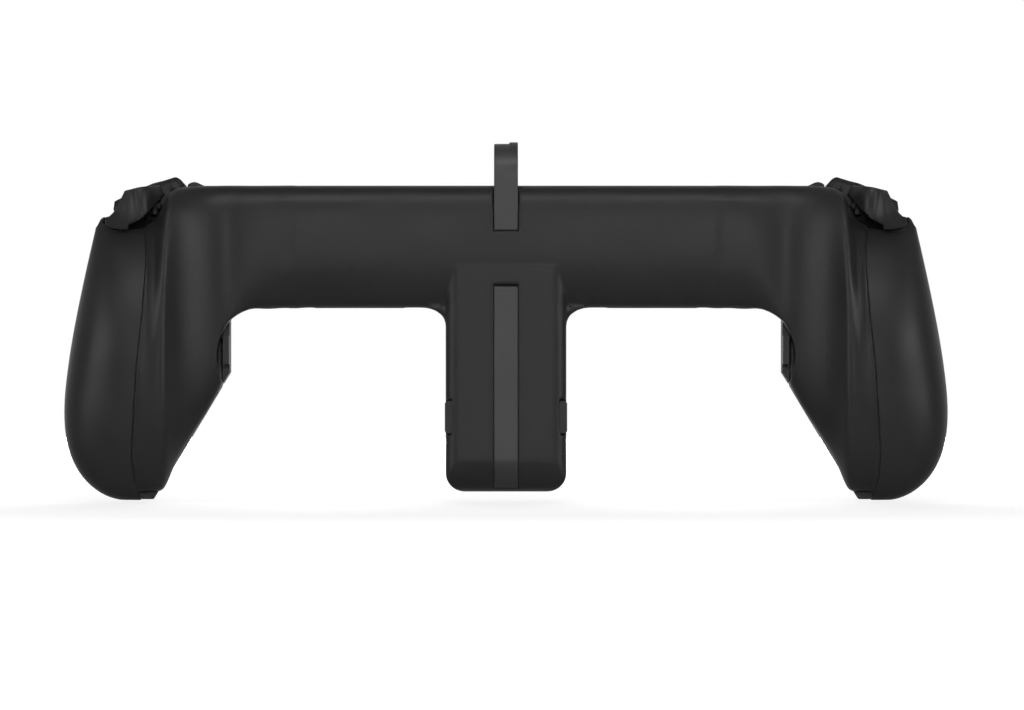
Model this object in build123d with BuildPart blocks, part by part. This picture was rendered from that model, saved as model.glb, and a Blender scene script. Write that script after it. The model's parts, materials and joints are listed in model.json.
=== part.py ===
from build123d import *
import os
from math import acos, cos, degrees, radians, sin, sqrt

# Two-handed game controller grip that clamps round a small tablet.
# Millimetres. +Z is up, the rear faces -Y, and z = 0 is the tip of both handles.
# "u" is the distance from the middle plane, so one description serves both sides.
# The player's left is +X.

os.makedirs("parts", exist_ok=True)

# Bay for the tablet
bay_half = 86.75
bay_depth = 14.4
shelf_top = 7.2
hook_inner = 109.4

# Shells
wall = 2.2
gap = 0.3
overshoot = 40.0

# Bar that joins the two handles
bar_top = 98.8
bar_bottom = 60.8
bar_depth = 10.0
blend_start = 66.0

# Stem in the middle, with the shelf at its foot
stem_half = 18.9
stem_bottom = 3.0
stem_floor = 1.6
stem_heel = 10.5
stem_edge = 4.0
stem_corner = 6.0
gusset_top = 61.3
gusset_depth = 6.5
stem_top = 73.5
cavity_top = 84.0
lip_height = 10.5
lip_thickness = 1.8

# Handles
seam = 115.0
grip_depth = 27.0
depth_start = 90.0
grip_middle = 46.0
handle_width = 23.4
tip_sweep = 11.0
sweep_start = 42.0
face_front = 16.0
face_tip_drop = 22.0
face_drop_start = 38.0
slope = 0.593
slope_foot = 110.66
arc_radius = 15.0
arc_centre_u = 76.2
arc_centre_z = 45.8
shoulder_start = 102.0
shoulder_top = 90.5

# Clamp strap and the strip below it
strap_half = 3.75
slot_half = 4.05
strap_rear = 9.5
strap_thickness = 2.2
slot_end = 84.2
tongue_end = 60.0
strip_top = 67.8
strip_end = 4.2
groove_depth = 0.9

# Triggers and bumpers
trigger_pivot_y = -0.8
trigger_pivot_z = 90.6
trigger_wall = 2.0
trigger_top_angle = 98.0
trigger_bottom_angle = 20.0
trigger_hub = 5.2
trigger_pin_radius = 1.5
bumper_pin_u = 103.6
bumper_pin_z = 96.4
bumper_pin_radius = 1.0
bumper_rear = 2.8
bumper_front = 13.5
bumper_floor = 89.6
running_fit = 0.08

# Sticks, direction pad and buttons: (u, z) of each centre
stick_left_at = (108.0, 78.0)
stick_right_at = (103.5, 50.0)
dpad_at = (103.5, 50.0)
cluster_at = (108.0, 77.0)
cluster_radius = 7.3
upper_small_at = (95.2, 86.0)
lower_small_at = (95.2, 66.0)
pivot_y = 9.0
stick_hole = 10.0
button_radius = 4.2
small_radius = 2.0

# Boards and motors
board_front = 0.0
board_thickness = 1.6
motor_at = (119.0, -8.0)
motor_radius = 6.0

# Screws: (u, z) on the faces and (x, z) behind the tablet
face_screws_at = ((95.5, 93.4), (127.5, 62.0), (105.0, 24.0))
plate_screws_at = ((70.0, 92.0), (12.0, 46.0))
screw_radius = 1.2
screw_hole = 1.25
screw_head = 2.4
head_seat = 2.8
seat_depth = 1.4
face_boss = 2.9
plate_boss = 2.6

# Rubber pads on the plate behind the tablet: limits of |x| or x, and of z
bar_pad = ((20.0, 62.0), (84.0, 89.0))
stem_pad = ((-10.0, 10.0), (30.0, 36.0))
pad_thickness = 0.8
plate_thickness = 2.0
plate_clearance = 1.4

# Release buttons: height of the pocket's middle and its half height
release_z = 26.4
release_half = 5.2


def clamp01(t):
    return min(max(t, 0.0), 1.0)


def ease(t):
    t = clamp01(t)
    return t * t * (3 - 2 * t)


def mix(a, b, t):
    return a + (b - a) * t


def parting(z):
    """Y of the line where the rear half meets the face; it sweeps back to the tip."""
    return -tip_sweep * clamp01((sweep_start - z) / sweep_start)


def slope_height(u):
    """Height of the handle's slanted inner edge, rounded off into the tip."""
    rise = (slope_foot - u) / slope
    return (rise + sqrt(rise * rise + 9.0)) / 2 - 0.305


def slope_edge(z):
    return slope_foot - slope * z


def outer_edge(z):
    """Half width of the whole object at height z."""
    if z < 28.0:
        return seam + handle_width * (1 - ((28.0 - z) / 28.0) ** 2.25) ** (1 / 2.25)
    return seam + handle_width - 0.24 * (sqrt((z - 28.0) ** 2 + 22.0**2) - 22.0)


def face_depth(z):
    """Y of the face's front; near the tip it curves back."""
    return face_front - face_tip_drop * clamp01((face_drop_start - z) / face_drop_start) ** 2.2


def rear_curves(u, inset=0.0):
    """Upper and lower control points (y, z) of the rear surface at u."""
    t = ease((u - blend_start) / (seam - blend_start))
    low = slope_height(u)
    if u < 90.0:
        low = mix(bar_bottom, low, ease((u - 74.0) / 16.0))
    low += inset
    shoulder = ease((u - shoulder_start) / (seam - shoulder_start))
    top = mix(bar_top, shoulder_top, shoulder) - inset
    depth = mix(bar_depth, grip_depth, ease((u - depth_start) / (seam - depth_start))) - inset
    middle = mix(80.0, grip_middle, t)
    upper_pull = mix(0.86, 0.25, shoulder)
    middle_pull = mix(0.86, 0.50, shoulder)
    lower_pull = mix(0.72, 0.68, t)
    start = parting(low)
    upper = (
        (0, top),
        (-upper_pull * depth, top),
        (-depth, middle + middle_pull * (top - middle)),
        (-depth, middle),
    )
    lower = (
        (-depth, middle),
        (-depth, middle - lower_pull * (middle - low)),
        (start - lower_pull * (depth + start), low),
        (start, low),
    )
    return upper, lower


def rear_section(u, inset=0.0):
    """Section of the rear half at u, which runs out through the front."""
    upper, lower = rear_curves(u, inset)
    top = upper[0]
    bottom = lower[-1]
    with BuildSketch(Plane(origin=(u, 0, 0), x_dir=(0, 1, 0), z_dir=(1, 0, 0))) as section:
        with BuildLine():
            Bezier(*upper)
            Bezier(*lower)
            Polyline(bottom, (6.0, bottom[1]), (6.0, top[1]), top)
        make_face()
    return section.sketch.faces()[0]


def front_space(shift=0.0):
    """Everything in front of the parting surface."""
    low = -20.0
    with BuildSketch(Plane.YZ) as outline:
        Polygon(
            (shift, 130.0),
            (shift, sweep_start),
            (shift - tip_sweep * (sweep_start - low) / sweep_start, low),
            (60.0, low),
            (60.0, 130.0),
            align=None,
        )
    return extrude(outline.sketch, amount=160, both=True, mode=Mode.PRIVATE)


def bezier_point(points, t):
    a, b, c, d = (1 - t) ** 3, 3 * t * (1 - t) ** 2, 3 * t * t * (1 - t), t**3
    return tuple(
        a * points[0][i] + b * points[1][i] + c * points[2][i] + d * points[3][i] for i in (0, 1)
    )


def seam_depth(z, inset=0.0):
    """How far back the rear surface reaches at the seam, at height z."""
    upper, lower = rear_curves(seam, inset)
    curve = upper if z > grip_middle else lower
    near, far = 0.0, 1.0
    for _ in range(40):
        middle = (near + far) / 2
        if bezier_point(curve, middle)[1] > z:
            near = middle
        else:
            far = middle
    return -bezier_point(curve, near)[0]


def cover_section(z, inset=0.0):
    """Level section of the outer grip cover."""
    depth = seam_depth(z, inset)
    edge = outer_edge(z) - inset
    start = parting(z)
    pull = 0.66
    back = (seam, -depth)
    side = (edge, start)
    if inset:
        front = ((edge, 6.0), (seam, 6.0))
    else:
        front = ((seam, start),)
    with BuildSketch(Plane.XY.offset(z)) as section:
        with BuildLine():
            Bezier(
                back,
                (seam + pull * (edge - seam), -depth),
                (edge, start - pull * (depth + start)),
                side,
            )
            Polyline(side, *front, back)
        make_face()
    return section.sketch.faces()[0]


def face_section(z, inset=0.0):
    """Level section of the face half: inner side, front and rounded outer side."""
    inner = max(bay_half + 2.4, slope_edge(z)) if z > 30 else slope_edge(z)
    inner += inset
    outer = outer_edge(z) - inset
    front = face_depth(z) - inset
    back = parting(z) - 3.0
    small = min(3.0 - inset, 0.3 * (front - back), 0.3 * (outer - inner))
    large = min(9.0 - inset, 0.55 * (front - back), 0.55 * (outer - inner))
    with BuildSketch(Plane.XY.offset(z)) as section:
        with BuildLine():
            Line((inner, back), (inner, front - small))
            Bezier((inner, front - small), (inner, front), (inner + small, front))
            Line((inner + small, front), (outer - large, front))
            Bezier((outer - large, front), (outer, front), (outer, front - large))
            Polyline((outer, front - large), (outer, back), (inner, back))
        make_face()
    return section.sketch.faces()[0]


def block(x, y, z, mode=Mode.ADD):
    """Box between the pairs of limits x, y and z."""
    centre = ((x[0] + x[1]) / 2, (y[0] + y[1]) / 2, (z[0] + z[1]) / 2)
    with Locations(centre):
        Box(x[1] - x[0], y[1] - y[0], z[1] - z[0], mode=mode)


def span(side, near, far):
    """Limits in x between two values of u, on the side +1 or -1."""
    return tuple(sorted((side * near, side * far)))


def post(x, z, y, radius, mode=Mode.ADD):
    """Round post along Y between the limits y."""
    with BuildSketch(Plane(origin=(x, y[0], z), x_dir=(1, 0, 0), z_dir=(0, 1, 0))) as disc:
        Circle(radius)
    extrude(disc.sketch, amount=y[1] - y[0], mode=mode)


def rod(y, z, x, radius, mode=Mode.ADD):
    """Round rod along X between the limits x."""
    with BuildSketch(Plane(origin=(x[0], y, z), x_dir=(0, 1, 0), z_dir=(1, 0, 0))) as disc:
        Circle(radius)
    extrude(disc.sketch, amount=x[1] - x[0], mode=mode)


def column(x, y, z, radius, mode=Mode.ADD):
    """Round column along Z between the limits z."""
    with BuildSketch(Plane(origin=(x, y, z[0]), x_dir=(1, 0, 0), z_dir=(0, 0, 1))) as disc:
        Circle(radius)
    extrude(disc.sketch, amount=z[1] - z[0], mode=mode)


def coil(centre, direction, radius, wire, length, turns):
    """Coil spring that starts at centre and runs along direction."""
    rise = length - wire
    with BuildLine() as path:
        Helix(rise / turns, rise, radius, center=centre, direction=direction)
    start = path.line @ 0
    with BuildSketch(Plane(origin=start, z_dir=path.line % 0)) as disc:
        Circle(wire / 2)
    sweep(disc.sketch, path=path.line)


def finish(piece, name):
    piece.part.label = name
    export_step(piece.part, f"parts/{name}.step")


# Outlines seen from behind


def handle_outline(inset=0.0):
    """Where the rear half of a handle may be: not below the bar, nor behind the side rail."""
    radius = arc_radius + inset
    reach = bay_half - arc_centre_u
    corner = arc_centre_z + sqrt(radius**2 - reach**2)
    bend = degrees(acos(reach / radius))
    with BuildSketch(Plane.XZ) as outline:
        with BuildLine():
            Polyline((50, 110), (50, bar_bottom + inset), (arc_centre_u, bar_bottom + inset))
            CenterArc((arc_centre_u, arc_centre_z), radius, 90, bend - 90)
            ThreePointArc(
                (bay_half, corner), (90.4 + inset, 46.3), (88.7 + inset, 37.0 - inset)
            )
            Polyline(
                (88.7 + inset, 37.0 - inset),
                (84.0 + inset, 28.0),
                (84.0 + inset, -5.0),
                (150.0, -5.0),
                (150.0, 110.0),
                (50.0, 110.0),
            )
        make_face()
    return outline.sketch


def pocket_outline():
    """Above this rim the shells are open for the trigger and the bumper."""
    with BuildSketch(Plane.XZ) as outline:
        with BuildLine():
            Spline(
                (101.5, 98.4),
                (104.9, 96.9),
                (108.4, 91.2),
                (112.8, 86.9),
                (117.1, 85.4),
                (123.4, 85.1),
                (125.9, 86.6),
                (126.3, 89.2),
            )
            Polyline(
                (126.3, 89.2),
                (127.4, 88.4),
                (128.2, 86.2),
                (145, 86.2),
                (145, 115),
                (100, 115),
                (100, 98.6),
                (101.5, 98.4),
            )
        make_face()
    return outline.sketch


def shoulder_outline():
    """Outside this outline the top corner of a face shell is cut away."""
    with BuildSketch(Plane.XZ) as outline:
        Polygon(
            (128.2, 86.2),
            (127.4, 88.4),
            (126.3, 89.3),
            (124.4, 89.9),
            (123.7, 91.6),
            (123.1, 94.2),
            (120.6, 95.5),
            (114.3, 98.5),
            (113.4, 99.5),
            (145, 99.5),
            (145, 86.2),
            align=None,
        )
    return outline.sketch


# Trigger outline: (u, distance from the pivot) and (u, z) of its top

trigger_profile = (
    (106.9, 5.6),
    (108.6, 8.6),
    (110.6, 13.0),
    (112.2, 16.4),
    (114.0, 17.4),
    (118.0, 16.6),
    (121.6, 16.2),
    (124.0, 14.6),
    (125.3, 12.6),
)
trigger_top = (
    (106.9, 99.3),
    (114.3, 98.3),
    (119.0, 97.2),
    (120.3, 94.4),
    (121.2, 92.2),
    (122.5, 90.4),
    (125.3, 87.9),
)
trigger_pivot = Axis((0, trigger_pivot_y, trigger_pivot_z), (1, 0, 0))


def trigger_envelope(inset=0.0, floor_angle=0.0):
    """Sector about the pivot, cut by the trigger's top outline; floor_angle raises its lower end."""
    start = radians(trigger_top_angle)
    radial = Plane(
        origin=(0, trigger_pivot_y, trigger_pivot_z),
        x_dir=(1, 0, 0),
        z_dir=(0, -sin(start), -cos(start)),
    )
    first = trigger_profile[0][0] + inset
    last = trigger_profile[-1][0] - inset
    with BuildPart() as envelope:
        with BuildSketch(radial):
            with BuildLine():
                rim = [(first, trigger_profile[0][1] - inset)]
                rim += [(u, r - inset) for u, r in trigger_profile[1:-1]]
                rim += [(last, trigger_profile[-1][1] - inset)]
                Spline(*rim)
                Polyline(rim[-1], (last, 0), (first, 0), rim[0])
            make_face()
        sweep_angle = trigger_top_angle + trigger_bottom_angle - floor_angle
        revolve(axis=trigger_pivot, revolution_arc=sweep_angle)
        with BuildSketch(Plane.XZ):
            with BuildLine():
                top = [(first, trigger_top[0][1] - inset)]
                top += [(u, z - inset) for u, z in trigger_top[1:-1]]
                top += [(last, trigger_top[-1][1] - inset)]
                Polyline(*top, (last, 60), (first, 60), top[0])
            make_face()
        extrude(amount=overshoot, both=True, mode=Mode.INTERSECT)
    return envelope.part


# Rear shell: bar, stem and the inner halves of both handles

rear_stations = (66, 74, 82, 90, 97, 103, 109, seam)

with BuildPart() as handle_rear:
    loft(sections=[rear_section(u) for u in rear_stations])
    extrude(handle_outline(), amount=overshoot, both=True, mode=Mode.INTERSECT)
    add(front_space(), mode=Mode.SUBTRACT)

with BuildPart() as handle_cavity:
    loft(sections=[rear_section(u, wall) for u in rear_stations])
    extrude(handle_outline(wall), amount=overshoot, both=True, mode=Mode.INTERSECT)

with BuildPart() as stem_body:
    with BuildSketch(Plane.YZ):
        with BuildLine():
            Polyline((-bar_depth, stem_top), (-bar_depth, stem_bottom + stem_heel))
            RadiusArc(
                (-bar_depth, stem_bottom + stem_heel),
                (stem_heel - bar_depth, stem_bottom),
                -stem_heel,
            )
            Polyline(
                (stem_heel - bar_depth, stem_bottom),
                (bay_depth + lip_thickness - 2, stem_bottom),
                (bay_depth + lip_thickness, stem_bottom + 2),
                (bay_depth + lip_thickness, lip_height),
                (bay_depth, lip_height),
                (bay_depth, shelf_top),
                (0, shelf_top),
                (0, stem_top),
                (-bar_depth, stem_top),
            )
        make_face()
    extrude(amount=stem_half, both=True)
    with BuildSketch(Plane.XY):
        with BuildLine():
            Polyline(
                (stem_half, -bar_depth + stem_edge),
                (stem_half, bay_depth + 4),
                (-stem_half, bay_depth + 4),
                (-stem_half, -bar_depth + stem_edge),
            )
            RadiusArc(
                (-stem_half, -bar_depth + stem_edge),
                (-stem_half + stem_edge, -bar_depth),
                -stem_edge,
            )
            Line((-stem_half + stem_edge, -bar_depth), (stem_half - stem_edge, -bar_depth))
            RadiusArc(
                (stem_half - stem_edge, -bar_depth),
                (stem_half, -bar_depth + stem_edge),
                -stem_edge,
            )
        make_face()
    extrude(amount=80, mode=Mode.INTERSECT)
    with BuildSketch(Plane.XZ):
        with Locations((0, stem_bottom + 40)):
            RectangleRounded(2 * stem_half, 80, stem_corner)
    extrude(amount=overshoot, both=True, mode=Mode.INTERSECT)
    with BuildSketch(Plane.XZ):
        for side in (-1, 1):
            with BuildLine():
                edge = side * stem_half
                corner_mid = stem_corner * (1 - sqrt(0.5))
                Polyline(
                    (edge, bar_bottom - stem_corner),
                    (edge, gusset_top),
                    (edge + side * stem_corner, gusset_top),
                    (edge + side * stem_corner, bar_bottom),
                )
                ThreePointArc(
                    (edge + side * stem_corner, bar_bottom),
                    (edge + side * corner_mid, bar_bottom - corner_mid),
                    (edge, bar_bottom - stem_corner),
                )
            make_face()
    extrude(amount=gusset_depth)

with BuildPart() as stem_cavity:
    with BuildSketch(Plane.YZ):
        with BuildLine():
            heel_y = stem_heel - bar_depth
            heel_z = stem_bottom + stem_heel
            turn = stem_heel - wall - 0.1
            Line((6, cavity_top), (heel_y - turn, cavity_top))
            Line((heel_y - turn, cavity_top), (heel_y - turn, heel_z))
            RadiusArc((heel_y - turn, heel_z), (heel_y, heel_z - turn), -turn)
            Polyline((heel_y, heel_z - turn), (6, heel_z - turn), (6, cavity_top))
        make_face()
    extrude(amount=stem_half - wall, both=True)
    block(
        (-stem_half + wall, stem_half - wall),
        (-2, bay_depth - 2.2),
        (stem_bottom + stem_floor, shelf_top + 1),
    )

with BuildPart() as rear_solid:
    extrude(rear_section(blend_start), amount=-2 * blend_start)
    add(front_space(), mode=Mode.SUBTRACT)
    add(handle_rear.part)
    mirror(handle_rear.part, about=Plane.YZ)
    add(stem_body.part)

with BuildPart() as rear_bosses:
    for u, z in face_screws_at:
        if u < seam:
            post(u, z, (-30, parting(z) - 0.1), face_boss)
    # They end halfway through the wall
    loft(sections=[rear_section(u, wall / 2) for u in rear_stations], mode=Mode.INTERSECT)
    for u, z in face_screws_at:
        if u < seam:
            post(u, z, (-10, 1), screw_hole, Mode.SUBTRACT)
    mirror(rear_bosses.part, about=Plane.YZ)

with BuildPart() as rear_shell:
    add(rear_solid.part)
    extrude(rear_section(blend_start, wall), amount=-2 * blend_start, mode=Mode.SUBTRACT)
    add(handle_cavity.part, mode=Mode.SUBTRACT)
    mirror(handle_cavity.part, about=Plane.YZ, mode=Mode.SUBTRACT)
    add(stem_cavity.part, mode=Mode.SUBTRACT)
    # Open rim around the triggers
    rim = extrude(pocket_outline(), amount=overshoot, both=True, mode=Mode.PRIVATE)
    add(rim, mode=Mode.SUBTRACT)
    mirror(rim, about=Plane.YZ, mode=Mode.SUBTRACT)
    # Slot for the strap, through the rear and the top of the bar
    block((-slot_half, slot_half), (-bar_depth - 1, -4.6), (slot_end, bar_top + 2), Mode.SUBTRACT)
    # Groove for the strip, down the stem and round its heel
    with BuildSketch(Plane.YZ):
        with BuildLine():
            strip_dy = sqrt(stem_heel**2 - (heel_z - strip_end) ** 2)
            inner = stem_heel - groove_depth
            inner_dy = strip_dy * inner / stem_heel
            inner_dz = (heel_z - strip_end) * inner / stem_heel
            Polyline((-inner + heel_y, heel_z), (-inner + heel_y, strip_top + 0.4))
            Line((-inner + heel_y, strip_top + 0.4), (-bar_depth - 2, strip_top + 0.4))
            Polyline(
                (-bar_depth - 2, strip_top + 0.4),
                (-bar_depth - 2, strip_end - 1.5),
                (heel_y - strip_dy - 0.3, strip_end - 1.5),
                (heel_y - inner_dy, heel_z - inner_dz),
            )
            RadiusArc((heel_y - inner_dy, heel_z - inner_dz), (heel_y - inner, heel_z), inner)
        make_face()
    extrude(amount=strap_half + 0.25, both=True, mode=Mode.SUBTRACT)
    # Pockets for the release buttons, and the rib that carries their springs
    for side in (-1, 1):
        block(
            span(side, 13.0, 21.0),
            (-9.3, -2.7),
            (release_z - release_half - gap, release_z + release_half + gap),
            Mode.SUBTRACT,
        )
    block((-3, 3), (-bar_depth + wall, -3), (22, 31))
    # Screw bosses
    for x, z in plate_screws_at:
        for side in (-1, 1):
            post(side * x, z, (-bar_depth + 1, -plate_thickness - 0.1), plate_boss)
            post(side * x, z, (-bar_depth + wall, -plate_thickness), screw_hole, Mode.SUBTRACT)
    add(rear_bosses.part)
finish(rear_shell, "rear_shell")


# Outer grip covers

cover_stations = (0.6, 3, 8, 15, 25, 38, 52, 64, 74, 82, 90)
cover_cavity_stations = (5, 9, 15, 25, 38, 52, 64, 74, 82, 87.8)

with BuildPart() as cover_solid:
    loft(sections=[cover_section(z) for z in cover_stations])
    add(front_space(), mode=Mode.SUBTRACT)

with BuildPart() as cover_bosses:
    for u, z in face_screws_at:
        if u > seam:
            post(u, z, (-30, -0.1), face_boss)
    loft(
        sections=[cover_section(z, wall / 2) for z in cover_cavity_stations],
        mode=Mode.INTERSECT,
    )
    for u, z in face_screws_at:
        if u > seam:
            post(u, z, (-10, 1), screw_hole, Mode.SUBTRACT)

with BuildPart() as grip_cover_left:
    add(cover_solid.part)
    loft(sections=[cover_section(z, wall) for z in cover_cavity_stations], mode=Mode.SUBTRACT)
    extrude(pocket_outline(), amount=overshoot, both=True, mode=Mode.SUBTRACT)
    add(cover_bosses.part)
finish(grip_cover_left, "grip_cover_left")

with BuildPart() as grip_cover_right:
    mirror(grip_cover_left.part, about=Plane.YZ)
finish(grip_cover_right, "grip_cover_right")


# Face shells

face_stations = (0.8, 3, 6, 10, 15, 21, 28, 36.3, 45, 60, 78, bar_top)
face_cavity_stations = (5, 7, 10, 15, 21, 28, 36.3, 45, 60, 78, 96.6)

with BuildPart() as face_solid:
    loft(sections=[face_section(z) for z in face_stations], ruled=True)
    add(front_space(), mode=Mode.INTERSECT)
    extrude(shoulder_outline(), amount=overshoot, both=True, mode=Mode.SUBTRACT)

with BuildPart() as face_hollow:
    add(face_solid.part)
    loft(
        sections=[face_section(z, wall) for z in face_cavity_stations],
        ruled=True,
        mode=Mode.SUBTRACT,
    )
    # Opening at the top for the bumper
    block((100.0, 140), (-5, 13.8), (bumper_floor, 110), Mode.SUBTRACT)

with BuildPart() as face_bosses:
    for u, z in face_screws_at:
        post(u, z, (parting(z) + 0.1, face_front), face_boss)
    add(face_solid.part, mode=Mode.INTERSECT)

with BuildPart() as face_shell_plain:
    add(face_hollow.part)
    add(face_bosses.part)
    for u, z in face_screws_at:
        post(u, z, (-20, 30), screw_hole, Mode.SUBTRACT)
        post(u, z, (face_depth(z) - seat_depth, 30), head_seat, Mode.SUBTRACT)
    for u, z in (upper_small_at, lower_small_at):
        post(u, z, (10, 30), small_radius + gap, Mode.SUBTRACT)

with BuildPart() as face_shell_left:
    add(face_shell_plain.part)
    post(*stick_left_at, (10, 30), stick_hole, Mode.SUBTRACT)
    for width, height in ((22.4, 9.0), (9.0, 22.4)):
        block(
            (dpad_at[0] - width / 2, dpad_at[0] + width / 2),
            (12, 30),
            (dpad_at[1] - height / 2, dpad_at[1] + height / 2),
            Mode.SUBTRACT,
        )
finish(face_shell_left, "face_shell_left")

cluster = (
    ("face_button_up", (0, 1)),
    ("face_button_down", (0, -1)),
    ("face_button_inner", (-1, 0)),
    ("face_button_outer", (1, 0)),
)

with BuildPart() as face_shell_right:
    mirror(face_shell_plain.part, about=Plane.YZ)
    post(-stick_right_at[0], stick_right_at[1], (10, 30), stick_hole, Mode.SUBTRACT)
    for _, (du, dz) in cluster:
        u = cluster_at[0] + cluster_radius * du
        z = cluster_at[1] + cluster_radius * dz
        post(-u, z, (12, 30), button_radius + gap, Mode.SUBTRACT)
finish(face_shell_right, "face_shell_right")


# Side rails: the two end walls of the bay

with BuildPart() as side_rail_left:
    with BuildSketch(Plane.XZ):
        Polygon(
            (bay_half, 96.0),
            (bay_half, 40.4),
            (bay_half + 2.2, 36.9),
            (bay_half + 2.2, 96.0),
            align=None,
        )
    extrude(amount=-15)
    block((bay_half, bay_half + 1.9), (-7, 0.1), (43, 52))
finish(side_rail_left, "side_rail_left")

with BuildPart() as side_rail_right:
    mirror(side_rail_left.part, about=Plane.YZ)
finish(side_rail_right, "side_rail_right")


# Plate behind the tablet, with the shelf under it

plug_y = 7.0

with BuildPart() as backrest_plate:
    block(
        (-bay_half + 0.55, bay_half - 0.55),
        (-plate_thickness, 0),
        (bar_bottom + wall + plate_clearance, bar_top - wall - gap),
    )
    block((-16.4, 16.4), (-plate_thickness, 0), (shelf_top - 1.4, bar_bottom + 10))
    block((-16.4, 16.4), (-plate_thickness, 12.0), (shelf_top - 1.4, shelf_top))
    with BuildSketch(Plane.XY.offset(shelf_top + 1)):
        with Locations((0, plug_y)):
            RectangleRounded(9.0, 3.2, 1.5)
    extrude(amount=-4, mode=Mode.SUBTRACT)
    for x, z in plate_screws_at:
        for side in (-1, 1):
            post(side * x, z, (-3, 1), screw_hole, Mode.SUBTRACT)
            post(side * x, z, (-1.3, 1), plate_boss, Mode.SUBTRACT)
    for side in (-1, 1):
        block(span(side, *bar_pad[0]), (-pad_thickness, 1), bar_pad[1], Mode.SUBTRACT)
    block(stem_pad[0], (-pad_thickness, 1), stem_pad[1], Mode.SUBTRACT)
    # Way through for the cable to the plug
    block((4.6, 9.4), (-3, -0.9), (5, 9), Mode.SUBTRACT)
finish(backrest_plate, "backrest_plate")

with BuildPart() as backrest_pads:
    for side in (-1, 1):
        block(span(side, *bar_pad[0]), (-pad_thickness, 0), bar_pad[1])
    block(stem_pad[0], (-pad_thickness, 0), stem_pad[1])
finish(backrest_pads, "backrest_pads")


# Clamp: strap with its hook, pad, spring and the fixed strip below

hook_top = hook_inner + 3.3
hook_round = 10.4
hook_front = bay_depth + 2.1

with BuildPart() as clamp_hook:
    with BuildSketch(Plane.YZ):
        with BuildLine():
            outer_turn = hook_top - hook_round
            inner_round = hook_round - strap_thickness
            roof = hook_top - strap_thickness
            Line((-strap_rear, 85.0), (-strap_rear, outer_turn))
            RadiusArc((-strap_rear, outer_turn), (-strap_rear + hook_round, hook_top), hook_round)
            Line((-strap_rear + hook_round, hook_top), (hook_front - 4.5, hook_top))
            RadiusArc((hook_front - 4.5, hook_top), (hook_front, hook_top - 4.5), 4.5)
            Polyline(
                (hook_front, hook_top - 4.5),
                (hook_front, hook_inner - 3.5),
                (bay_depth, hook_inner - 3.5),
                (bay_depth, roof),
                (-strap_rear + hook_round, roof),
            )
            RadiusArc(
                (-strap_rear + hook_round, roof),
                (-strap_rear + strap_thickness, outer_turn),
                -inner_round,
            )
            Polyline(
                (-strap_rear + strap_thickness, outer_turn),
                (-strap_rear + strap_thickness, 97.0),
                (-strap_rear + 2 * strap_thickness, 97.0),
                (-strap_rear + 2 * strap_thickness, tongue_end),
                (-strap_rear + strap_thickness, tongue_end),
                (-strap_rear + strap_thickness, 85.0),
                (-strap_rear, 85.0),
            )
        make_face()
    extrude(amount=strap_half, both=True)
finish(clamp_hook, "clamp_hook")

with BuildPart() as hook_pad:
    block((-3.4, 3.4), (1.2, bay_depth - gap), (hook_inner, hook_top - strap_thickness))
finish(hook_pad, "hook_pad")

with BuildPart() as clamp_spring:
    coil((0, -5.2, 31.5), (0, 0, 1), 2.0, 0.7, tongue_end - 31.3, 10)
finish(clamp_spring, "clamp_spring")

with BuildPart() as channel_strip:
    with BuildSketch(Plane.YZ):
        with BuildLine():
            outer = stem_heel - 0.1
            outer_dy = strip_dy * outer / stem_heel
            outer_dz = (heel_z - strip_end) * outer / stem_heel
            Polyline(
                (heel_y - outer, heel_z),
                (heel_y - outer, strip_top),
                (heel_y - inner, strip_top),
                (heel_y - inner, heel_z),
            )
            RadiusArc((heel_y - inner, heel_z), (heel_y - inner_dy, heel_z - inner_dz), -inner)
            Line((heel_y - inner_dy, heel_z - inner_dz), (heel_y - outer_dy, heel_z - outer_dz))
            RadiusArc((heel_y - outer_dy, heel_z - outer_dz), (heel_y - outer, heel_z), outer)
        make_face()
    extrude(amount=strap_half, both=True)
finish(channel_strip, "channel_strip")


# Release buttons on the stem's sides

with BuildPart() as release_button_left:
    block((15.0, 19.15), (-9.0, -3.0), (release_z - release_half, release_z + release_half))
    chamfer(release_button_left.edges().filter_by(Axis.Y).group_by(Axis.X)[-1], 0.8)
    block((12.0, 15.2), (-7.5, -3.0), (22.2, 30.6))
    block((15.0, 16.4), (-7.5, -2.4), (19.6, 33.2))
    rod(-5.8, release_z, (11.0, 17.6), 1.6, Mode.SUBTRACT)
finish(release_button_left, "release_button_left")

with BuildPart() as release_button_right:
    mirror(release_button_left.part, about=Plane.YZ)
finish(release_button_right, "release_button_right")

with BuildPart() as release_springs:
    for side in (-1, 1):
        coil((side * 3.2, -5.8, release_z), (side, 0, 0), 1.0, 0.4, 12.8, 8)
finish(release_springs, "release_springs")


# Triggers

def trigger_clearance():
    """The trigger stops above this line, short of the shell's rim."""
    with BuildSketch(Plane.XZ) as outline:
        Polygon(
            (100.0, 98.6),
            (106.1, 97.9),
            (109.8, 92.5),
            (113.8, 88.3),
            (117.8, 86.5),
            (117.8, 70.0),
            (100.0, 70.0),
            align=None,
        )
    return outline.sketch


with BuildPart() as trigger_ears:
    rod(trigger_pivot_y, trigger_pivot_z, (109.4, 110.9), 2.4)
    block((108.3, 110.9), (-2.0, 0.8), (91.8, 95.5))
    rod(trigger_pivot_y, trigger_pivot_z, (119.8, 121.4), 2.4)
    add(trigger_envelope(), mode=Mode.INTERSECT)

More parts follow.
